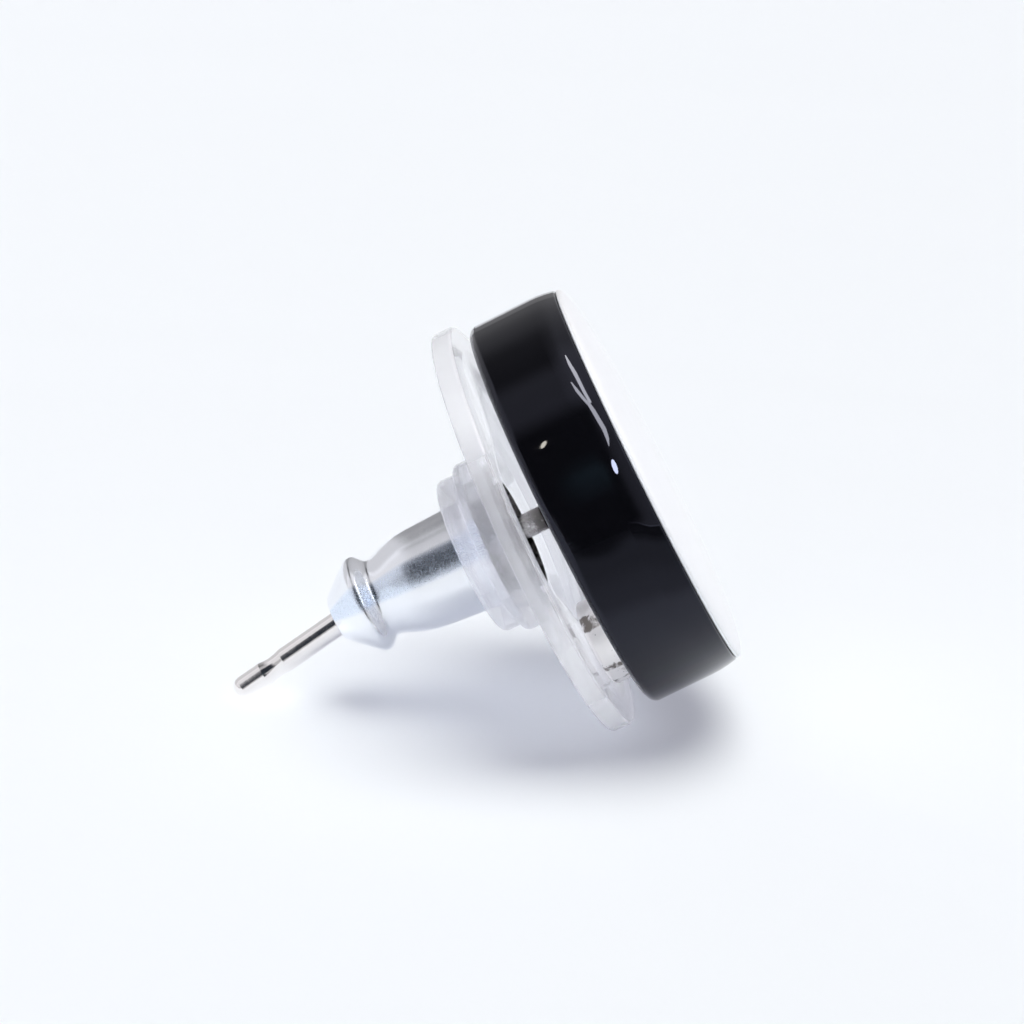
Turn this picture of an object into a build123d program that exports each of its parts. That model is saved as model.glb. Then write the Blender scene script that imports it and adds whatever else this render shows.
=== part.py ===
from build123d import *
import math
import os

# Round button stud earring lying on a flat surface, with its clutch and
# clear comfort disc still pushed on. It rests on the tip of its post and on a
# small flat on the comfort disc's rim, so the button leans back.
#
# Millimetres, +Z up, the surface is Z = 0. +X is the way the button faces,
# seen from above. The origin is the middle of the bounding box, on the surface.

# ---------------------------------------------------------------- dimensions

# how the earring lies
BUTTON_TILT = 29.0        # button axis above the surface, degrees
BUTTON_X = 1.9855         # centre of the button's back face, from the origin
BUTTON_Y = -0.069

# button: a black outer ring round a pale core with a low domed front
BUTTON_R = 6.0            # outer radius of the black ring
BUTTON_DEPTH = 2.75       # back face to front rim
RING_BORE_R = 5.50        # inside of the black ring
RING_BACK_ROUND = 0.27    # rounding of the back edge
RING_CROWN = 0.09         # how far the wall draws in at the front rim
RING_CROWN_LEN = 0.80     # over this length of wall
RING_INNER_CHAMFER = 0.12
CORE_GAP = 0.03           # bonding gap round the core
DOME_R = 5.88             # foot of the domed front
DOME_FOOT = 0.06          # upright edge of the dome
DOME_RISE = 0.50          # height of the dome over the front rim
DOME_POWER = 2.3          # above 2 the dome is flatter in the middle
DOME_STEPS = 12

# post: flat pad, solder cone and a wire post bent a little near the clutch's nose
SEAT_GAP = 0.02           # bonding gap under the pad and the tag
PAD_R = 1.70
PAD_T = 0.25
POST_R = 0.365
POST_RISE = 0.10          # the post stands this far above the button's centre
POST_ASIDE = 0.325        # and this far to the side, towards +Y
SOLDER_R = 0.62
SOLDER_H = 0.22
POST_STRAIGHT = 5.90      # back face of the button to the start of the bend
POST_BEND = 8.6           # degrees, downward
POST_BEND_R = 7.4
TIP_ROUND = 0.27
GROOVE_FROM_TIP = 1.38    # middle of the shallow groove
GROOVE_W = 0.72
GROOVE_D = 0.045

# small plain oval tag on the button's back, near its lower edge
TAG_ACROSS = 2.00         # half its length, along the rim
TAG_HIGH = 1.27           # half its width, towards the centre
TAG_T = 0.65
TAG_RADIUS = 3.80         # distance of its middle from the button's centre
TAG_TURN = 28.0           # degrees from straight down, towards -Y
TAG_EDGE = 0.08

# clutch: metal bullet and clear disc turn round one axis, in its own frame,
# where 0 is the nose and the axis runs towards the button
CLUTCH_TILT = 27.8        # degrees above the surface
CLUTCH_TURN = 2.6         # degrees towards -Y
NOSE_BACK = 7.20          # the nose, measured back from the button's back face
NOSE_RISE = 0.14          # and above the button's axis

NOSE_HOLE_R = 0.575
NOSE_FACE_R = 0.67
HEAD_AT = 0.93            # edge between the nose cone and the head's rim
HEAD_R = 1.47
HEAD_BACK = 1.10
NECK_AT = 1.47
NECK_R = 1.15
BARREL_SHOULDER = 2.55
BARREL_R1 = 1.51          # barrel radius at the shoulder
BARREL_END = 4.85
BARREL_R2 = 1.65          # barrel radius at the flange
FLANGE_R = 2.15
FLANGE_T = 0.25
NOSE_WALL = 0.36
BARREL_BORE_R = 1.38

DISC_R = 6.28
DISC_BACK = 6.06
DISC_T = 0.63
DISC_ROUND = 0.10
REST_FLAT = 0.12          # depth of the small worn flat on its back edge, which it rests on
DISH_R = 5.50             # inside the flat rim the front face is dished
DISH_MID_R = 3.00
DISH_MID = 0.33           # depth of the dish at that radius
DISH_DEPTH = 0.66         # and at the opening for the post
HUB1_AT = 4.30            # back of the hub's small ring
HUB1_R = 2.38
HUB2_AT = 4.92            # back of the hub's large ring
HUB2_R = 2.62
HUB_ROUND = 0.20
HUB_GAP = 0.03            # between the metal and the clear plastic
MOUTH_R1 = 1.44           # the disc's opening for the post, at the flange
MOUTH_R2 = 1.68           # and at the bottom of the dish

# ------------------------------------------------------------ derived frames

tilt = math.radians(BUTTON_TILT)
ctilt = math.radians(CLUTCH_TILT)
cturn = math.radians(CLUTCH_TURN)
outer_tilt = tilt + math.radians(POST_BEND)

# unit vectors: button axis, the direction across it in the upright plane,
# the clutch axis and the outer stretch of the post
axis_dir = Vector(math.cos(tilt), 0, math.sin(tilt))
across_dir = Vector(-math.sin(tilt), 0, math.cos(tilt))
clutch_dir = Vector(math.cos(ctilt) * math.cos(cturn),
                    -math.cos(ctilt) * math.sin(cturn),
                    math.sin(ctilt))
outer_dir = Vector(math.cos(outer_tilt), 0, math.sin(outer_tilt))

# height of the button's back centre: the flat on the comfort disc's rim is at Z = 0
nose_from_back = (axis_dir * (-NOSE_BACK) + across_dir * NOSE_RISE
                  + Vector(0, POST_ASIDE, 0))
disc_back_centre = nose_from_back + clutch_dir * DISC_BACK
disc_drop = DISC_R * math.sqrt(1 - clutch_dir.Z ** 2)
# the rounded edge lifts the lowest point by this much
edge_lift = DISC_ROUND * (clutch_dir.Z + math.sqrt(1 - clutch_dir.Z ** 2) - 1)
button_z = disc_drop - edge_lift - REST_FLAT - disc_back_centre.Z
back_centre = Vector(BUTTON_X, BUTTON_Y, button_z)
nose = back_centre + nose_from_back

# sketch planes that hold each axis: local X runs along the axis, local Y is the radius
button_plane = Plane(origin=back_centre, x_dir=axis_dir, z_dir=(0, -1, 0))
clutch_side = clutch_dir.cross(Vector(0, 0, 1)).normalized()
clutch_plane = Plane(origin=nose, x_dir=clutch_dir, z_dir=clutch_side)
button_axis = Axis(back_centre, axis_dir)
clutch_axis = Axis(nose, clutch_dir)

# the post's line: straight along the button's axis, one large arc, straight to the tip
post_offset = across_dir * POST_RISE + Vector(0, POST_ASIDE, 0)
post_root = back_centre + post_offset - axis_dir * SEAT_GAP
bend_start = back_centre + post_offset - axis_dir * POST_STRAIGHT
bend_centre = bend_start - across_dir * POST_BEND_R
bend_end = bend_centre + (across_dir * math.cos(math.radians(POST_BEND))
                          - axis_dir * math.sin(math.radians(POST_BEND))) * POST_BEND_R
bend_mid = bend_centre + (across_dir * math.cos(math.radians(POST_BEND / 2))
                          - axis_dir * math.sin(math.radians(POST_BEND / 2))) * POST_BEND_R
tip_z = (TIP_ROUND + (POST_R - TIP_ROUND) * math.cos(outer_tilt)
         - TIP_ROUND * math.sin(outer_tilt))
outer_len = (bend_end.Z - tip_z) / math.sin(outer_tilt)
tip = bend_end - outer_dir * outer_len

os.makedirs("parts", exist_ok=True)


def dome_profile():
    """Upper half of the core's section: height over the rim at each radius."""
    rows = []
    for i in range(DOME_STEPS + 1):
        angle = math.pi / 2 * i / DOME_STEPS
        radius = DOME_R * math.sin(angle) ** (2 / DOME_POWER)
        height = DOME_RISE * math.cos(angle) ** (2 / DOME_POWER)
        rows.append((BUTTON_DEPTH + DOME_FOOT + height, radius))
    return rows


# ---------------------------------------------------------------- outer ring

with BuildPart() as outer_ring:
    with BuildSketch(button_plane):
        with BuildLine():
            crown_start = (BUTTON_DEPTH - RING_CROWN_LEN, BUTTON_R)
            crown_end = (BUTTON_DEPTH - 0.05, BUTTON_R - RING_CROWN)
            Line((0, RING_BORE_R), (0, BUTTON_R - RING_BACK_ROUND))
            RadiusArc((0, BUTTON_R - RING_BACK_ROUND), (RING_BACK_ROUND, BUTTON_R),
                      RING_BACK_ROUND)
            Line((RING_BACK_ROUND, BUTTON_R), crown_start)
            TangentArc(crown_start, crown_end, tangent=(1, 0))
            Polyline(crown_end,
                     (BUTTON_DEPTH, BUTTON_R - RING_CROWN - 0.05),
                     (BUTTON_DEPTH, RING_BORE_R + RING_INNER_CHAMFER),
                     (BUTTON_DEPTH - RING_INNER_CHAMFER, RING_BORE_R),
                     (0, RING_BORE_R))
        make_face()
    revolve(axis=button_axis)
outer_ring.part.label = "outer_ring"
export_step(outer_ring.part, "parts/outer_ring.step")

# ----------------------------------------------------------------- pale core

with BuildPart() as pale_core:
    with BuildSketch(button_plane):
        with BuildLine():
            dome = dome_profile()
            core_r = RING_BORE_R - CORE_GAP
            foot = BUTTON_DEPTH + CORE_GAP
            Spline(*dome, tangents=((0, 1), (-1, 0)))
            Polyline(dome[-1],
                     (foot, DOME_R),
                     (foot, core_r + RING_INNER_CHAMFER),
                     (foot - RING_INNER_CHAMFER, core_r),
                     (0, core_r),
                     (0, 0),
                     dome[0])
        make_face()
    revolve(axis=button_axis)
pale_core.part.label = "pale_core"
export_step(pale_core.part, "parts/pale_core.step")

# ------------------------------------------------------------------ ear post

with BuildPart() as ear_post:
    # pad and solder cone, turned about the post's own line
    post_plane = Plane(origin=post_root, x_dir=axis_dir * -1, z_dir=(0, 1, 0))
    with BuildSketch(post_plane):
        with BuildLine():
            Polyline((0, 0), (0, PAD_R), (PAD_T - 0.06, PAD_R), (PAD_T, PAD_R - 0.06),
                     (PAD_T, SOLDER_R))
            RadiusArc((PAD_T, SOLDER_R), (PAD_T + SOLDER_H, POST_R), -0.45)
            Polyline((PAD_T + SOLDER_H, POST_R), (PAD_T + SOLDER_H, 0), (0, 0))
        make_face()
    revolve(axis=Axis(post_root, axis_dir * -1))
    # the wire
    with BuildLine() as wire:
        Line(post_root - axis_dir * 0.1, bend_start)
        ThreePointArc(bend_start, bend_mid, bend_end)
        Line(bend_end, tip)
    with BuildSketch(Plane(origin=wire.line @ 0, z_dir=wire.line % 0)):
        Circle(POST_R)
    sweep(path=wire.line)
    fillet(ear_post.edges().filter_by(GeomType.CIRCLE)
           .sort_by(Axis(tip, outer_dir))[0], radius=TIP_ROUND)
    # the shallow groove where a clutch's grip settles
    groove_mid = tip + outer_dir * GROOVE_FROM_TIP
    with BuildSketch(Plane(origin=groove_mid, x_dir=outer_dir, z_dir=(0, -1, 0))):
        with BuildLine():
            half = GROOVE_W / 2
            ThreePointArc((-half, POST_R), (0, POST_R - GROOVE_D), (half, POST_R))
            Polyline((half, POST_R), (half, POST_R + 0.2), (-half, POST_R + 0.2),
                     (-half, POST_R))
        make_face()
    revolve(axis=Axis(groove_mid, outer_dir), mode=Mode.SUBTRACT)
ear_post.part.label = "ear_post"
export_step(ear_post.part, "parts/ear_post.step")

# ------------------------------------------------------------------ back tag

with BuildPart() as back_tag:
    turn = math.radians(TAG_TURN)
    down_dir = across_dir * -math.cos(turn) + Vector(0, -1, 0) * math.sin(turn)
    tag_centre = back_centre + down_dir * TAG_RADIUS - axis_dir * SEAT_GAP
    with BuildSketch(Plane(origin=tag_centre, x_dir=down_dir, z_dir=axis_dir * -1)):
        Ellipse(TAG_HIGH, TAG_ACROSS)
    extrude(amount=TAG_T)
    chamfer(back_tag.faces().sort_by(Axis(tag_centre, axis_dir * -1))[-1].edges(), TAG_EDGE)
back_tag.part.label = "back_tag"
export_step(back_tag.part, "parts/back_tag.step")

# ------------------------------------------------------------- clutch barrel

with BuildPart() as clutch_barrel:
    flange_at = BARREL_END
    with BuildSketch(clutch_plane):
        with BuildLine():
            # outside, from the nose to the flange
            Polyline((0, NOSE_HOLE_R), (0, NOSE_FACE_R), (HEAD_AT, HEAD_R))
            Spline((HEAD_AT, HEAD_R), (HEAD_BACK, HEAD_R), (NECK_AT, NECK_R),
                   (1.97, 1.33), (BARREL_SHOULDER, BARREL_R1),
                   tangents=((0.6, 0.5), (1.0, 0.12)))
            Polyline((BARREL_SHOULDER, BARREL_R1), (BARREL_END, BARREL_R2),
                     (BARREL_END, FLANGE_R), (BARREL_END + FLANGE_T, FLANGE_R),
                     (BARREL_END + FLANGE_T, BARREL_BORE_R))
            # inside, back to the nose
            Polyline((BARREL_END + FLANGE_T, BARREL_BORE_R), (3.10, BARREL_BORE_R - 0.04),
                     (1.75, NECK_R - 0.28), (1.25, NECK_R - 0.28),
                     (NOSE_WALL, NOSE_HOLE_R), (0, NOSE_HOLE_R))
        make_face()
    revolve(axis=clutch_axis)
clutch_barrel.part.label = "clutch_barrel"
export_step(clutch_barrel.part, "parts/clutch_barrel.step")

# -------------------------------------------------------------- comfort disc

with BuildPart() as comfort_disc:
    slope = (BARREL_R2 - BARREL_R1) / (BARREL_END - BARREL_SHOULDER)
    neck_r = BARREL_R1 + slope * (HUB1_AT - BARREL_SHOULDER) + HUB_GAP
    seat_r = BARREL_R2 + HUB_GAP
    with BuildSketch(clutch_plane):
        with BuildLine():
            Polyline(
                # outside of the hub's two rings, then the plate
                (HUB1_AT, neck_r), (HUB1_AT, HUB1_R), (HUB2_AT, HUB1_R),
                (HUB2_AT, HUB2_R), (DISC_BACK, HUB2_R), (DISC_BACK, DISC_R),
                (DISC_BACK + DISC_T, DISC_R), (DISC_BACK + DISC_T, DISH_R),
                (DISC_BACK + DISC_T - DISH_MID, DISH_MID_R),
                (DISC_BACK + DISC_T - DISH_DEPTH, MOUTH_R2),
                # opening for the post, then the pocket that holds the flange
                (BARREL_END + FLANGE_T + HUB_GAP, MOUTH_R1),
                (BARREL_END + FLANGE_T + HUB_GAP, FLANGE_R + HUB_GAP),
                (BARREL_END - HUB_GAP, FLANGE_R + HUB_GAP),
                (BARREL_END - HUB_GAP, seat_r), (HUB1_AT, neck_r))
        make_face()
    revolve(axis=clutch_axis)
    round_edges = comfort_disc.edges().filter_by(GeomType.CIRCLE)
    fillet(round_edges.filter_by(lambda e: abs(e.radius - DISC_R) < 0.001), radius=DISC_ROUND)
    hub_edges = comfort_disc.edges().filter_by(GeomType.CIRCLE).filter_by(
        lambda e: abs(e.radius - HUB1_R) < 0.001 or abs(e.radius - HUB2_R) < 0.001)
    outer_hub_edges = hub_edges.filter_by(
        lambda e: clutch_plane.to_local_coords(e.arc_center).X < DISC_BACK - 0.01
        and not (abs(e.radius - HUB1_R) < 0.001
                 and clutch_plane.to_local_coords(e.arc_center).X > HUB2_AT - 0.01))
    fillet(outer_hub_edges, radius=HUB_ROUND)
    # the worn flat is level with the surface
    split(bisect_by=Plane.XY, keep=Keep.TOP)
comfort_disc.part.label = "comfort_disc"
export_step(comfort_disc.part, "parts/comfort_disc.step")

# ------------------------------------------------------------------- summary

solids = [outer_ring.part, pale_core.part, ear_post.part, back_tag.part,
          clutch_barrel.part, comfort_disc.part]
boxes = [s.bounding_box() for s in solids]
print("box x %.3f %.3f y %.3f %.3f z %.3f %.3f" % (
    min(b.min.X for b in boxes), max(b.max.X for b in boxes),
    min(b.min.Y for b in boxes), max(b.max.Y for b in boxes),
    min(b.min.Z for b in boxes), max(b.max.Z for b in boxes)))
print("back centre", back_centre, "nose", nose, "bend end", bend_end, "tip", tip, "outer length %.3f" % outer_len)
print("slide axis", outer_dir * -1, "clutch axis", clutch_dir)
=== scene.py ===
import math

import bmesh
import bpy
from mathutils import Matrix, Vector


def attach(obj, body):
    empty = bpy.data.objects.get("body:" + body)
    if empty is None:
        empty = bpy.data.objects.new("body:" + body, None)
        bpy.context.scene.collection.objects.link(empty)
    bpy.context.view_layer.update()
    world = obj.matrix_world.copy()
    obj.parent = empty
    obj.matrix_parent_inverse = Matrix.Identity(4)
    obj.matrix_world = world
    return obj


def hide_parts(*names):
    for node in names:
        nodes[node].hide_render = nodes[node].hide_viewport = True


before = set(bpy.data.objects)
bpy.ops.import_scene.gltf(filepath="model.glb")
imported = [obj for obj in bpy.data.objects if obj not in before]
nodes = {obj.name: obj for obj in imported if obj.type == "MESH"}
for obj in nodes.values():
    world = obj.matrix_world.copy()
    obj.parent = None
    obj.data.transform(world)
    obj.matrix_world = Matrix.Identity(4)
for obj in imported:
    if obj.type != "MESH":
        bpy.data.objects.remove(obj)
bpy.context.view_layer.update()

scene = bpy.context.scene
MM = 0.001

# ------------------------------------------------------------------ node help


class Tree:
    """Short calls for a node tree."""

    def __init__(self, tree):
        self.tree = tree
        tree.nodes.clear()

    def add(self, kind, inputs=None, **settings):
        node = self.tree.nodes.new(kind)
        for key, value in settings.items():
            setattr(node, key, value)
        for key, value in (inputs or {}).items():
            self.put(node, key, value)
        return node

    def put(self, node, key, value):
        socket = node.inputs[key]
        if isinstance(value, bpy.types.NodeSocket):
            self.tree.links.new(value, socket)
        else:
            socket.default_value = value

    def math(self, op, a, b=None, c=None, clamp=False):
        node = self.tree.nodes.new("ShaderNodeMath")
        node.operation = op
        node.use_clamp = clamp
        for i, value in enumerate((a, b, c)):
            if value is not None:
                self.put(node, i, value)
        return node.outputs[0]

    def vec(self, op, a, b=None, out=0):
        node = self.tree.nodes.new("ShaderNodeVectorMath")
        node.operation = op
        self.put(node, 0, a)
        if b is not None:
            self.put(node, 1, b)
        return node.outputs[out]

    def step(self, x, lo, hi, out_lo=0.0, out_hi=1.0):
        node = self.tree.nodes.new("ShaderNodeMapRange")
        node.interpolation_type = "SMOOTHSTEP"
        for key, value in (("Value", x), ("From Min", lo), ("From Max", hi), ("To Min", out_lo), ("To Max", out_hi)):
            self.put(node, key, value)
        return node.outputs["Result"]

    def line(self, x, lo, hi, out_lo=0.0, out_hi=1.0):
        node = self.tree.nodes.new("ShaderNodeMapRange")
        for key, value in (("Value", x), ("From Min", lo), ("From Max", hi), ("To Min", out_lo), ("To Max", out_hi)):
            self.put(node, key, value)
        return node.outputs["Result"]

    def noise(self, vector, scale, detail=2.0, rough=0.5, distort=0.0, color=False):
        node = self.add("ShaderNodeTexNoise", {"Vector": vector, "Scale": scale, "Detail": detail,
                                               "Roughness": rough, "Distortion": distort})
        return node.outputs["Color" if color else "Fac"]

    def mix(self, fac, a, b):
        node = self.tree.nodes.new("ShaderNodeMix")
        node.data_type = "RGBA"
        self.put(node, "Factor", fac)
        self.put(node, 6, a)
        self.put(node, 7, b)
        return node.outputs[2]

    def bump(self, height, strength, distance, normal=None):
        node = self.add("ShaderNodeBump", {"Height": height, "Strength": strength, "Distance": distance})
        if normal is not None:
            self.put(node, "Normal", normal)
        return node.outputs["Normal"]


def material(name):
    mat = bpy.data.materials.new(name)
    mat.use_nodes = True
    return mat, Tree(mat.node_tree)


def dress(obj, mat):
    obj.data.materials.clear()
    obj.data.materials.append(mat)


# ------------------------------------------------------------- frames of axes

TILT, CLUTCH_TILT, CLUTCH_TURN = map(math.radians, (29.0, 27.8, 2.6))
BACK = Vector((1.9855, -0.069, 5.94195)) * MM       # centre of the button's back
NOSE = Vector((-4.37964, 0.256, 2.57377)) * MM      # the clutch's nose
TIP = Vector((-7.24026, 0.256, 0.180528)) * MM      # the post's tip
AXIS = Vector((math.cos(TILT), 0, math.sin(TILT)))
ACROSS = Vector((-math.sin(TILT), 0, math.cos(TILT)))
CLUTCH = Vector((math.cos(CLUTCH_TILT) * math.cos(CLUTCH_TURN),
                 -math.cos(CLUTCH_TILT) * math.sin(CLUTCH_TURN), math.sin(CLUTCH_TILT)))
OUTER = Vector((0.79229, 0, 0.610145))

# --------------------------------------------------------------------- camera

CAM_F, CAM_E = 3000.0, math.radians(17.0)
CAM_D, CAM_AZ, CAM_ROLL, CAM_CX, CAM_CZ = 86.58, math.radians(-3.76), math.radians(2.51), -1.409, 6.008


def make_camera():
    turn = Matrix.Rotation(CAM_AZ, 3, "Z")
    back = turn @ Vector((0, -math.cos(CAM_E), math.sin(CAM_E)))
    up = turn @ Vector((0, math.sin(CAM_E), math.cos(CAM_E)))
    right = turn @ Vector((1, 0, 0))
    c, s = math.cos(CAM_ROLL), math.sin(CAM_ROLL)
    right, up = right * c + up * s, up * c - right * s
    place = turn @ Vector((CAM_CX, 0, CAM_CZ)) + Vector((BACK.x / MM, BACK.y / MM, 0)) + back * CAM_D
    data = bpy.data.cameras.new("camera")
    data.sensor_width = 36.0
    data.sensor_fit = "HORIZONTAL"
    data.lens = 36.0 * CAM_F / 1024
    data.clip_start, data.clip_end = 0.005, 10
    cam = bpy.data.objects.new("camera", data)
    scene.collection.objects.link(cam)
    cam.matrix_world = Matrix((
        (right.x, up.x, back.x, place.x * MM),
        (right.y, up.y, back.y, place.y * MM),
        (right.z, up.z, back.z, place.z * MM),
        (0, 0, 0, 1)))
    scene.camera = cam


make_camera()
scene.view_settings.view_transform = "Standard"

# ---------------------------------------------------------------------- stage

# The studio is described by the angle round the button's axis, which is the
# angle that its round wall, the clutch and the post mirror: 0 is level towards
# the front, 90 overhead, 180 level towards the back and -90 straight down.
FRONT = Vector((0, -1, 0))


def stage_object(name, mesh, mat, only_glossy=False):
    obj = bpy.data.objects.new(name, mesh)
    scene.collection.objects.link(obj)
    dress(obj, mat)
    if only_glossy:
        obj.visible_camera = False
        obj.visible_diffuse = False
        obj.visible_transmission = False
        obj.visible_shadow = False
        obj.visible_volume_scatter = False
    return obj


def make_floor():
    bm = bmesh.new()
    bmesh.ops.create_grid(bm, x_segments=8, y_segments=8, size=3.0)
    mesh = bpy.data.meshes.new("floor")
    bm.to_mesh(mesh)
    bm.free()
    mat, t = material("floor_paper")
    out = t.add("ShaderNodeOutputMaterial")
    diffuse = t.add("ShaderNodeBsdfDiffuse", {"Color": (0.872, 0.914, 0.934, 1), "Roughness": 0.2})
    t.put(out, "Surface", diffuse.outputs[0])
    return stage_object("floor", mesh, mat)


make_floor()


def axis_coords(t, direction):
    """Angle round the button's axis in degrees, and the part along that axis."""
    along = t.vec("DOT_PRODUCT", direction, tuple(AXIS), out=1)
    up = t.vec("DOT_PRODUCT", direction, tuple(ACROSS), out=1)
    front = t.vec("DOT_PRODUCT", direction, tuple(FRONT), out=1)
    angle = t.math("MULTIPLY", t.math("ARCTAN2", up, front), 180 / math.pi)
    return angle, along


def ramp(t, x, points):
    """Piecewise smooth value of x through (x, value) points."""
    value = points[0][1]
    for (x0, v0), (x1, v1) in zip(points, points[1:]):
        value = t.math("ADD", value, t.step(x, x0, x1, 0.0, v1 - v0))
    return value


def make_world():
    world = bpy.data.worlds.new("studio")
    scene.world = world
    world.use_nodes = True
    t = Tree(world.node_tree)
    out = t.add("ShaderNodeOutputWorld")
    direction = t.add("ShaderNodeTexCoord").outputs["Generated"]
    angle, along = axis_coords(t, direction)
    # a dark bar hangs over the object, along the plane its round wall mirrors
    bar = ramp(t, angle, [(62, 0.50), (90, 0.46), (104, 0.12), (120, 0.14), (140, 0.31), (170, 0.34)])
    wide = t.math("ADD", WORLD_LEVEL, t.math("MULTIPLY", t.step(angle, 44, 60, 0.0, 0.30), t.step(angle, 100, 116, 1.0, 0.0)))
    off = t.math("ABSOLUTE", t.math("SUBTRACT", along, -0.09))
    behind = t.step(angle, 92, 112)
    away = t.math("MAXIMUM", t.step(off, 0.06, 0.24), t.math("MULTIPLY", behind, t.step(along, -0.15, -0.21)))
    below = t.step(angle, -60, -20)
    level = t.math("ADD", t.math("MULTIPLY", bar, t.math("SUBTRACT", 1.0, away)), t.math("MULTIPLY", away, wide))
    sides = t.math("ADD", t.step(along, 0.1, 0.9, 1.0, WORLD_FACE), t.math("MULTIPLY", behind, t.step(along, -0.16, -0.26, 0.0, WORLD_REAR)))
    level = t.math("MULTIPLY", level, sides)
    tint = t.add("ShaderNodeCombineXYZ", {"X": t.math("MULTIPLY", level, 0.985), "Y": t.math("MULTIPLY", level, 0.98),
                                          "Z": t.math("MULTIPLY", level, 1.02)})
    shade = t.add("ShaderNodeBackground", {"Color": tint.outputs[0], "Strength": 1.0})
    t.put(out, "Surface", shade.outputs[0])
    # dull surfaces are lit by the lamps below
    world.cycles_visibility.diffuse = False


WORLD_LEVEL = 0.49
WORLD_FACE = 1.25
WORLD_REAR = 0.36
TUBE_A, TUBE_B = 16.0, 14.0
make_world()


def sun(name, direction, strength, angle, color=(1, 1, 1), glossy=False, shadow=True):
    data = bpy.data.lights.new(name, "SUN")
    data.energy = strength
    data.angle = math.radians(angle)
    data.color = color
    data.use_shadow = shadow
    # sampled from the lamp's side only, so that a lamp without shadow has none at all
    if hasattr(data, "cycles"):
        data.cycles.use_multiple_importance_sampling = False
    obj = bpy.data.objects.new(name, data)
    scene.collection.objects.link(obj)
    obj.rotation_mode = "QUATERNION"
    obj.rotation_quaternion = Vector(direction).normalized().to_track_quat("Z", "Y")
    obj.visible_glossy = glossy
    return obj


KEY = sun("key", (0.12, -0.03, 1.0), 2.14, 46, (1.0, 0.985, 0.945))
FILL = sun("fill_top", (0.3, -0.15, 1.0), 0.97, 60, (0.995, 0.955, 1.10), shadow=False)
FACE = sun("fill_face", (1.0, -0.15, 0.20), 0.80, 60, (1, 1, 1.03), shadow=False)
LEFT = sun("fill_left", (-0.5, -1.0, 0.05), 0.90, 60, (0.98, 0.98, 1.06), shadow=False)


def card_point(angle, radius, along):
    c, s = math.cos(math.radians(angle)), math.sin(math.radians(angle))
    centre = Vector((3.2, 0, 6.6)) * MM
    return centre + (FRONT * c + ACROSS * s) * radius + AXIS * along


def dark_card():
    """The studio's dark, open front, as polished surfaces mirror it."""
    bm = bmesh.new()
    angles = list(range(-16, 81, 2))
    alongs = [-0.050, -0.040, -0.030, -0.020, -0.010, 0.0, 0.010, 0.020, 0.030]
    uv = bm.loops.layers.uv.new("uv")
    rows = [[bm.verts.new(card_point(a, 0.075, x)) for x in alongs] for a in angles]
    for i in range(len(angles) - 1):
        for j in range(len(alongs) - 1):
            face = bm.faces.new((rows[i][j], rows[i][j + 1], rows[i + 1][j + 1], rows[i + 1][j]))
            for loop, (k, l) in zip(face.loops, ((i, j), (i, j + 1), (i + 1, j + 1), (i + 1, j))):
                loop[uv].uv = (alongs[l], angles[k] / 100.0)
    mesh = bpy.data.meshes.new("dark_card")
    bm.to_mesh(mesh)
    bm.free()
    mat, t = material("card_black")
    out = t.add("ShaderNodeOutputMaterial")
    xyz = t.add("ShaderNodeSeparateXYZ", {"Vector": t.add("ShaderNodeTexCoord").outputs["UV"]})
    angle = t.math("MULTIPLY", xyz.outputs["Y"], 100.0)
    side = t.math("MULTIPLY", t.step(xyz.outputs["X"], -0.048, -0.034), t.step(xyz.outputs["X"], 0.010, 0.026, 1.0, 0.0))
    # the lower edge rises towards the back
    bow = t.line(xyz.outputs["X"], -0.0052, -0.0065, 0.0, 1.0)
    low = t.math("SUBTRACT", angle, t.math("MULTIPLY", t.math("MULTIPLY", bow, bow), 26.0))
    low = t.math("SUBTRACT", low, t.step(xyz.outputs["X"], -0.0046, -0.0036, 0.0, 3.5))
    cover = t.math("MULTIPLY", t.step(low, -11.5, -3.5), t.step(angle, 60, 74, 1.0, 0.0))
    cover = t.math("MULTIPLY", cover, side)
    # something blue stands dimly in the dark
    blue = t.math("MULTIPLY", t.step(xyz.outputs["X"], -0.0056, -0.0038), t.step(xyz.outputs["X"], 0.002, 0.009, 1.0, 0.0))
    blue = t.math("MULTIPLY", blue, t.step(t.math("ABSOLUTE", t.math("SUBTRACT", angle, 28.5)), 2.0, 14.0, 1.0, 0.0))
    wisp = t.noise(t.add("ShaderNodeTexCoord").outputs["Object"], 90.0, 2.0, 0.5)
    blue = t.math("MULTIPLY", blue, t.step(wisp, 0.25, 0.65, 0.35, 1.0))
    glow = t.add("ShaderNodeEmission", {"Color": t.mix(blue, (0.022, 0.026, 0.036, 1), (0.15, 0.27, 0.29, 1)), "Strength": 1.0})
    clear = t.add("ShaderNodeBsdfTransparent")
    mixed = t.add("ShaderNodeMixShader", {"Fac": cover, 1: clear.outputs[0], 2: glow.outputs[0]})
    t.put(out, "Surface", mixed.outputs[0])
    return stage_object("dark_card", mesh, mat, only_glossy=True)


dark_card()


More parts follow.
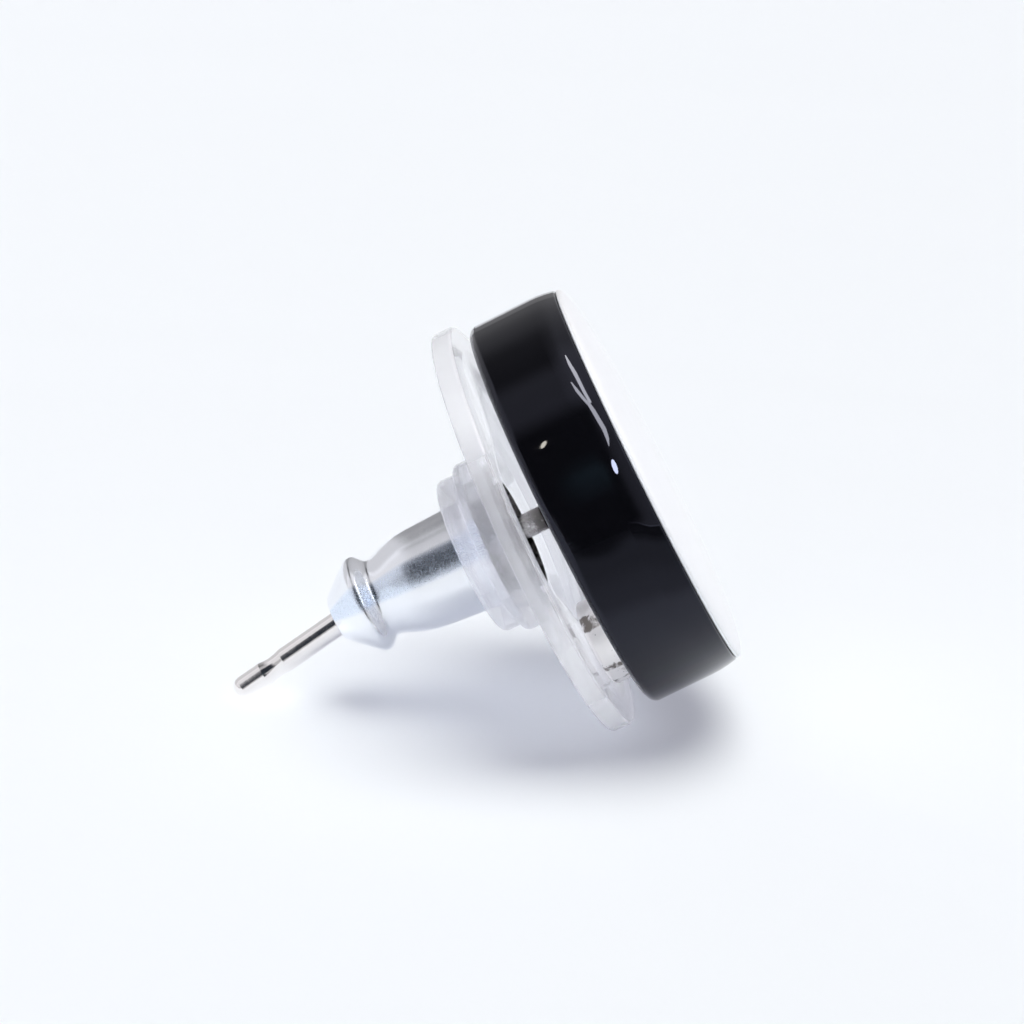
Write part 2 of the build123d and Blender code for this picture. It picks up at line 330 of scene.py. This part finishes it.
def floor_card():
    """Darkens the far floor in the mirror image of the button's wall."""
    bm = bmesh.new()
    corners = [bm.verts.new((x * MM, y * MM, 0.15 * MM)) for x, y in ((-50, -9), (170, -9), (170, -420), (-50, -420))]
    bm.faces.new(corners)
    mesh = bpy.data.meshes.new("floor_card")
    bm.to_mesh(mesh)
    bm.free()
    mat, t = material("card_grey")
    out = t.add("ShaderNodeOutputMaterial")
    xyz = t.add("ShaderNodeSeparateXYZ", {"Vector": t.add("ShaderNodeTexCoord").outputs["Object"]})
    away = t.math("MULTIPLY", xyz.outputs["Y"], -1000.0)
    # place along the wall, and the angle round it, from which this spot of floor is mirrored
    place = t.math("ADD", t.math("MULTIPLY", xyz.outputs["X"], 874.6), t.math("SUBTRACT", t.math("MULTIPLY", away, 0.065), 5.93))
    angle = -14.8
    for (x0, v0), (x1, v1) in zip(FLOOR_ANGLES, FLOOR_ANGLES[1:]):
        angle = t.math("ADD", angle, t.line(away, x0, x1, 0.0, v1 - v0))
    bow = t.math("MAXIMUM", t.math("SUBTRACT", 0.2, place), 0.0)
    low = t.math("SUBTRACT", angle, t.math("MULTIPLY", t.math("MULTIPLY", bow, bow), 3.5))
    low = t.math("SUBTRACT", low, t.step(place, 0.2, 1.2, 0.0, 3.8))
    near = ramp(t, away, [(9.5, 0.0), (13, 0.36), (24, 0.54), (60, 0.58)])
    cover = t.math("ADD", near, t.math("MULTIPLY", t.step(low, -12.5, -6.5), 0.36))
    right = t.math("SUBTRACT", place, t.math("MULTIPLY", away, 0.40))
    cover = t.math("MULTIPLY", cover, t.math("MULTIPLY", t.step(place, -7, -2.5), t.step(right, 3.0, 12.0, 1.0, 0.0)))
    glow = t.add("ShaderNodeEmission", {"Color": (0.022, 0.026, 0.036, 1), "Strength": 1.0})
    clear = t.add("ShaderNodeBsdfTransparent")
    mixed = t.add("ShaderNodeMixShader", {"Fac": cover, 1: clear.outputs[0], 2: glow.outputs[0]})
    t.put(out, "Surface", mixed.outputs[0])
    return stage_object("floor_card", mesh, mat, only_glossy=True)


FLOOR_ANGLES = [(24, -14.8), (30, -11.4), (40, -8.0), (50, -5.8), (80, -2.6), (200, 0.6), (400, 1.7)]
floor_card()


def lamp(name, outline, color, strength):
    """A small flat lamp with its corners in millimetres, seen only in mirror images."""
    bm = bmesh.new()
    verts = [bm.verts.new(Vector(p) * MM) for p in outline]
    half = len(verts) // 2
    for i in range(half - 1):
        bm.faces.new((verts[i], verts[i + 1], verts[2 * half - 2 - i], verts[2 * half - 1 - i]))
    mesh = bpy.data.meshes.new(name)
    bm.to_mesh(mesh)
    bm.free()
    mat, t = material(name)
    out = t.add("ShaderNodeOutputMaterial")
    glow = t.add("ShaderNodeEmission", {"Color": (*color, 1), "Strength": strength})
    t.put(out, "Surface", glow.outputs[0])
    return stage_object(name, mesh, mat, only_glossy=True)


# two crossing tubes over the front rim, a warm lamp and a cool lamp by the camera
lamp("tube_a", [(-1.44, -1.40, 19.78), (-1.40, -2.83, 19.75), (-1.11, -4.17, 19.66), (-0.76, -5.54, 19.41),
                (-0.37, -6.83, 19.04), (0.18, -8.01, 18.60), (0.43, -7.94, 18.70), (-0.01, -6.73, 19.18),
                (-0.35, -5.45, 19.56), (-0.65, -4.06, 19.82), (-0.98, -2.73, 19.90), (-1.31, -1.37, 19.83)],
     (1.0, 0.98, 0.86), TUBE_A)
lamp("tube_b", [(-1.80, -5.14, 19.15), (-1.43, -6.39, 18.87), (-0.80, -7.40, 18.64), (-0.12, -8.20, 18.41),
                (0.32, -9.02, 18.00), (0.83, -9.93, 17.44), (1.39, -10.75, 16.83), (1.72, -11.50, 16.12),
                (1.94, -12.02, 15.53), (2.07, -12.00, 15.58), (2.05, -11.43, 16.23), (1.77, -10.65, 16.98),
                (1.27, -9.81, 17.62), (0.78, -8.89, 18.20), (0.31, -8.04, 18.61), (-0.39, -7.23, 18.85),
                (-0.99, -6.25, 19.09), (-1.67, -5.10, 19.22)], (1.0, 0.98, 0.86), TUBE_B)
lamp("lamp_warm", [(-3.15, -10.10, 15.49), (-3.20, -9.97, 15.58), (-3.22, -9.82, 15.71), (-3.21, -9.69, 15.83),
                   (-3.17, -9.65, 15.89), (-3.11, -9.70, 15.87), (-3.06, -9.83, 15.78), (-3.04, -9.99, 15.65),
                   (-3.05, -10.11, 15.53), (-3.09, -10.16, 15.47)], (1.0, 0.92, 0.62), 24.0)
lamp("lamp_cool", [(2.59, -13.78, 12.78), (2.31, -13.74, 12.83), (2.04, -13.56, 13.15), (1.89, -13.30, 13.61),
                   (1.92, -13.06, 14.04), (2.11, -12.94, 14.27), (2.39, -12.99, 14.23), (2.65, -13.19, 13.92),
                   (2.80, -13.45, 13.46), (2.78, -13.67, 13.02)], (0.92, 0.965, 1.0), 32.0)

# ------------------------------------------------------------------ materials


def object_coords(t):
    return t.add("ShaderNodeTexCoord").outputs["Object"]


def mat_black():
    mat, t = material("black_gloss")
    out = t.add("ShaderNodeOutputMaterial")
    co = object_coords(t)
    cloud = t.noise(co, 900.0, 3.0, 0.55)
    ripple = t.noise(co, 260.0, 1.0, 0.4)
    rough = t.line(t.noise(co, 1500.0, 4.0, 0.6), 0.3, 0.7, 0.020, 0.042)
    normal = t.bump(ripple, 0.25, 0.00004)
    bsdf = t.add("ShaderNodeBsdfPrincipled", {
        "Base Color": t.mix(cloud, (0.0020, 0.0020, 0.0026, 1), (0.0036, 0.0036, 0.0048, 1)),
        "Roughness": rough, "IOR": 1.5, "Specular IOR Level": 0.40, "Specular Tint": (0.72, 0.75, 1.0, 1),
        "Normal": normal})
    t.put(out, "Surface", bsdf.outputs[0])
    return mat


def mat_pale():
    mat, t = material("pale_gloss")
    out = t.add("ShaderNodeOutputMaterial")
    co = object_coords(t)
    cloud = t.noise(co, 420.0, 3.0, 0.5)
    rough = t.line(t.noise(co, 1500.0, 4.0, 0.6), 0.3, 0.7, 0.28, 0.38)
    bsdf = t.add("ShaderNodeBsdfPrincipled", {
        "Base Color": t.mix(cloud, (0.84, 0.86, 0.875, 1), (0.885, 0.905, 0.92, 1)),
        "Roughness": rough, "IOR": 1.5})
    t.put(out, "Surface", bsdf.outputs[0])
    return mat


def mat_metal(name, lo, hi, rough_lo, rough_hi, scale, bump, root=False):
    mat, t = material(name)
    out = t.add("ShaderNodeOutputMaterial")
    co = object_coords(t)
    cloud = t.noise(co, scale * 0.3, 3.0, 0.6)
    grain = t.noise(co, scale, 4.0, 0.7)
    base = t.mix(cloud, lo, hi)
    rough = t.line(grain, 0.3, 0.7, rough_lo, rough_hi)
    if root:
        # painted shade: within 1.5 mm of the button's back the wire's colour is darkened in mottled patches, and it is
        # made rougher there
        back = t.math("MULTIPLY", t.vec("DOT_PRODUCT", t.vec("SUBTRACT", tuple(BACK), co), tuple(AXIS), out=1), 1000)
        shade_and_stain = t.math("MULTIPLY", t.step(back, 1.5, 0.5), t.step(t.noise(co, 2600.0, 3.0, 0.6), 0.28, 0.50))
        base = t.mix(shade_and_stain, base, (0.16, 0.15, 0.145, 1))
        rough = t.math("ADD", rough, t.math("MULTIPLY", shade_and_stain, 0.2))
    bsdf = t.add("ShaderNodeBsdfPrincipled", {
        "Base Color": base, "Metallic": 1.0,
        "Roughness": rough,
        "Normal": t.bump(grain, 0.6, bump)})
    t.put(out, "Surface", bsdf.outputs[0])
    return mat


TAG_WAY = FRONT * math.sin(math.radians(28)) - ACROSS * math.cos(math.radians(28))


def mat_tag():
    """Bright, warm plating with dark stains, and dark bands painted across it as reflections of the dark surroundings.
    """
    mat, t = material("tag_metal")
    out = t.add("ShaderNodeOutputMaterial")
    co = object_coords(t)
    out_r = t.math("MULTIPLY", t.vec("DOT_PRODUCT", t.vec("SUBTRACT", co, tuple(BACK)), tuple(TAG_WAY), out=1), 1000)
    shade_and_stain = t.noise(co, 2400.0, 3.0, 0.55, 0.4)
    fine = t.noise(co, 9000.0, 3.0, 0.6)
    # painted reflection: dark bands at set distances from the button's centre, mixed with the stain noise
    painted_reflection_band = ramp(t, out_r, [(2.58, 0.20), (2.74, -0.16), (3.12, -0.16), (3.34, 0.16), (3.60, 0.13), (3.78, -0.20),
                           (4.55, -0.20), (4.85, 0.03)])
    dark = t.step(t.math("ADD", shade_and_stain, painted_reflection_band), 0.50, 0.64)
    base = t.mix(t.noise(co, 900.0, 2.0, 0.5), (0.86, 0.84, 0.82, 1), (0.99, 0.975, 0.965, 1))
    bsdf = t.add("ShaderNodeBsdfPrincipled", {
        "Base Color": t.mix(dark, base, (0.20, 0.18, 0.165, 1)), "Metallic": 0.55,
        "Roughness": t.line(fine, 0.3, 0.7, 0.26, 0.48),
        "Normal": t.bump(t.math("ADD", shade_and_stain, t.math("MULTIPLY", fine, 0.3)), 0.6, 0.00003)})
    t.put(out, "Surface", bsdf.outputs[0])
    return mat


def mat_clear():
    mat, t = material("clear_plastic")
    out = t.add("ShaderNodeOutputMaterial")
    co = object_coords(t)
    # distance from the clutch's axis and place along it, in millimetres
    rel = t.vec("SUBTRACT", co, tuple(NOSE))
    along = t.vec("DOT_PRODUCT", rel, tuple(CLUTCH), out=1)
    reach = t.vec("LENGTH", t.vec("CROSS_PRODUCT", rel, tuple(CLUTCH)), out=1)
    along, reach = t.math("MULTIPLY", along, 1000), t.math("MULTIPLY", reach, 1000)
    rim = t.step(reach, 6.16, 6.26)
    face = t.math("MULTIPLY", t.step(along, 6.0, 6.1), t.step(reach, 6.26, 6.18))
    hub = t.math("MULTIPLY", t.step(along, 6.04, 5.98), t.step(reach, 2.9, 2.7))
    scuff = t.noise(co, 700.0, 2.0, 0.5)
    cloud = t.noise(co, 350.0, 2.0, 0.5)
    base = t.mix(cloud, (0.972, 0.976, 0.995, 1), (0.99, 0.992, 1.0, 1))
    base = t.mix(hub, base, (0.965, 0.972, 1.0, 1))
    base = t.mix(rim, base, (0.975, 0.98, 1.0, 1))
    rough = t.math("ADD", t.line(scuff, 0.3, 0.7, 0.05, 0.10), t.math("MULTIPLY", rim, 0.10))
    height = t.math("ABSOLUTE", t.math("MULTIPLY", t.vec("DOT_PRODUCT", rel, tuple(ACROSS), out=1), 1000))
    outer = t.step(height, 3.0, 4.8)
    through = t.math("SUBTRACT", 0.92, t.math("MULTIPLY", rim, t.line(outer, 0, 1, 0.14, 0.52)))
    through = t.math("SUBTRACT", through, t.math("MULTIPLY", face, 0.24))
    through = t.math("SUBTRACT", through, t.math("MULTIPLY", hub, 0.28))
    opening = t.math("SUBTRACT", 0.34, t.math("MULTIPLY", face, 0.22))
    bsdf = t.add("ShaderNodeBsdfPrincipled", {
        "Base Color": base,
        "Roughness": rough, "IOR": 1.38, "Normal": t.bump(t.noise(co, 300.0, 1.0, 0.4), 0.10, 0.00002),
        "Transmission Weight": through, "Alpha": t.math("SUBTRACT", 1.0, opening)})
    t.put(out, "Surface", bsdf.outputs[0])
    return mat


dress(nodes["outer_ring"], mat_black())
dress(nodes["pale_core"], mat_pale())
dress(nodes["ear_post"], mat_metal("post_metal", (0.86, 0.835, 0.825, 1), (0.97, 0.945, 0.935, 1), 0.07, 0.17, 4000.0, 0.000004, root=True))
dress(nodes["back_tag"], mat_tag())


def mat_clutch():
    """Tumbled satin plating: smooth to the eye, with a fine sparkle where it mirrors something dark, and a bluish
    reflection painted into its colour on that side.
    """
    mat, t = material("clutch_metal")
    out = t.add("ShaderNodeOutputMaterial")
    co = object_coords(t)
    cloud = t.noise(co, 900.0, 3.0, 0.6)
    grain = t.noise(co, 26000.0, 2.0, 0.6)
    peel = t.noise(co, 2600.0, 2.0, 0.5)
    rel = t.vec("SUBTRACT", co, tuple(NOSE))
    spoke = t.vec("NORMALIZE", t.vec("CROSS_PRODUCT", rel, tuple(CLUTCH)))
    front = t.vec("DOT_PRODUCT", spoke, tuple(DARK_REFLECTION_SIDE.cross(CLUTCH).normalized()), out=1)
    painted_reflection_band = t.step(front, 0.945, 0.985)
    height = t.math("ADD", t.math("MULTIPLY", grain, 0.35), t.math("MULTIPLY", peel, t.line(painted_reflection_band, 0, 1, 0.15, 0.45)))
    speck = t.math("MULTIPLY", painted_reflection_band, t.step(grain, 0.47, 0.66))
    rough = t.math("ADD", t.line(t.noise(co, 5000.0, 3.0, 0.6), 0.3, 0.7, 0.13, 0.19), t.math("ADD", t.math("MULTIPLY", painted_reflection_band, 0.09), t.math("MULTIPLY", speck, 0.12)))
    bsdf = t.add("ShaderNodeBsdfPrincipled", {
        # painted reflection: the side that mirrors the dark front is coloured bluish; it is also rougher and grainier
        # there
        "Base Color": t.mix(painted_reflection_band, t.mix(cloud, (0.88, 0.90, 0.945, 1), (0.94, 0.955, 0.985, 1)), (0.76, 0.83, 0.95, 1)),
        "Metallic": 1.0,
        "Roughness": rough,
        "Normal": t.bump(height, 0.55, 0.0000045)})
    t.put(out, "Surface", bsdf.outputs[0])
    return mat


# the side of the clutch that mirrors the dark front, where a bluish reflection is painted
DARK_REFLECTION_SIDE = FRONT * math.cos(math.radians(27)) + ACROSS * math.sin(math.radians(27))
CLUTCH_METAL = mat_clutch()
dress(nodes["clutch_barrel"], CLUTCH_METAL)
dress(nodes["comfort_disc"], mat_clear())
nodes["comfort_disc"].visible_diffuse = False
nodes["ear_post"].visible_shadow = False

# ---------------------------------------------------------------- the clutch


def lathe(name, profile, centre, axis, segments=160):
    """A closed surface of revolution of (along, radius) points in millimetres."""
    side = axis.orthogonal().normalized()
    other = axis.cross(side).normalized()
    bm = bmesh.new()
    rings = []
    for along, radius in profile:
        ring = []
        for k in range(segments):
            a = 2 * math.pi * k / segments
            ring.append(bm.verts.new(centre + axis * along * MM + (side * math.cos(a) + other * math.sin(a)) * radius * MM))
        rings.append(ring)
    for i in range(len(rings)):
        a, b = rings[i], rings[(i + 1) % len(rings)]
        for k in range(segments):
            bm.faces.new((a[k], a[(k + 1) % segments], b[(k + 1) % segments], b[k]))
    bmesh.ops.recalc_face_normals(bm, faces=bm.faces)
    mesh = bpy.data.meshes.new(name)
    bm.to_mesh(mesh)
    bm.free()
    mesh.polygons.foreach_set("use_smooth", [True] * len(mesh.polygons))
    obj = bpy.data.objects.new(name, mesh)
    scene.collection.objects.link(obj)
    return obj


def smooth_line(points, steps=6):
    """A Catmull-Rom line through (along, radius) points."""
    out = []
    pts = [points[0]] + points + [points[-1]]
    for i in range(1, len(pts) - 2):
        p0, p1, p2, p3 = (Vector(pts[i + k]) for k in (-1, 0, 1, 2))
        for k in range(steps):
            u = k / steps
            out.append(tuple(0.5 * ((2 * p1) + (p2 - p0) * u + (2 * p0 - 5 * p1 + 4 * p2 - p3) * u * u
                                    + (3 * p1 - p0 - 3 * p2 + p3) * u ** 3)))
    out.append(tuple(points[-1]))
    return out


outside = smooth_line([(0.02, 0.665), (0.25, 0.885), (0.50, 1.105), (0.74, 1.30), (0.87, 1.405), (0.95, 1.452),
                       (1.03, 1.468), (1.10, 1.462), (1.17, 1.43), (1.25, 1.355), (1.33, 1.265), (1.41, 1.20),
                       (1.50, 1.175), (1.62, 1.19), (1.80, 1.255), (2.00, 1.335), (2.20, 1.405), (2.40, 1.46),
                       (2.60, 1.50), (2.90, 1.53), (3.40, 1.56), (4.10, 1.603), (4.78, 1.645)], 4)
barrel_profile = ([(0.0, 0.575), (0.0, 0.63)] + outside
                  + [(4.83, 1.665), (4.85, 1.70), (4.85, 2.10), (4.856, 2.13), (4.88, 2.148), (5.07, 2.148), (5.094, 2.13),
                     (5.10, 2.10), (5.10, 1.42), (5.08, 1.39), (5.04, 1.38), (2.60, 1.28), (1.60, 1.0), (1.05, 1.1),
                     (0.42, 0.80), (0.36, 0.74), (0.36, 0.60), (0.33, 0.575)])
barrel = lathe("clutch_shell", barrel_profile, NOSE, CLUTCH)
dress(barrel, CLUTCH_METAL)
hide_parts("clutch_barrel")
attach(barrel, "clutch")

# the metal lining that shows in the comfort disc's opening, painted near black in mottled patches as the shade inside
# it
def mat_lining():
    mat, t = material("lining_metal")
    out = t.add("ShaderNodeOutputMaterial")
    co = object_coords(t)
    shade_and_stain = t.noise(co, 1800.0, 3.0, 0.6)
    bsdf = t.add("ShaderNodeBsdfPrincipled", {
        # painted shade: near-black and dark grey patches in the lining's colour
        "Base Color": t.mix(t.step(shade_and_stain, 0.40, 0.66), (0.05, 0.048, 0.046, 1), (0.34, 0.33, 0.32, 1)), "Metallic": 1.0,
        "Roughness": t.line(t.noise(co, 5000.0, 3.0, 0.6), 0.3, 0.7, 0.25, 0.45),
        "Normal": t.bump(shade_and_stain, 0.5, 0.00001)})
    t.put(out, "Surface", bsdf.outputs[0])
    return mat


eyelet = lathe("clutch_eyelet", [(5.13, 1.425), (5.60, 1.55), (6.00, 1.655), (6.01, 1.655), (6.015, 1.645),
                                 (5.98, 1.615), (5.60, 1.51), (5.13, 1.39)], NOSE, CLUTCH)
dress(eyelet, mat_lining())
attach(eyelet, "clutch")
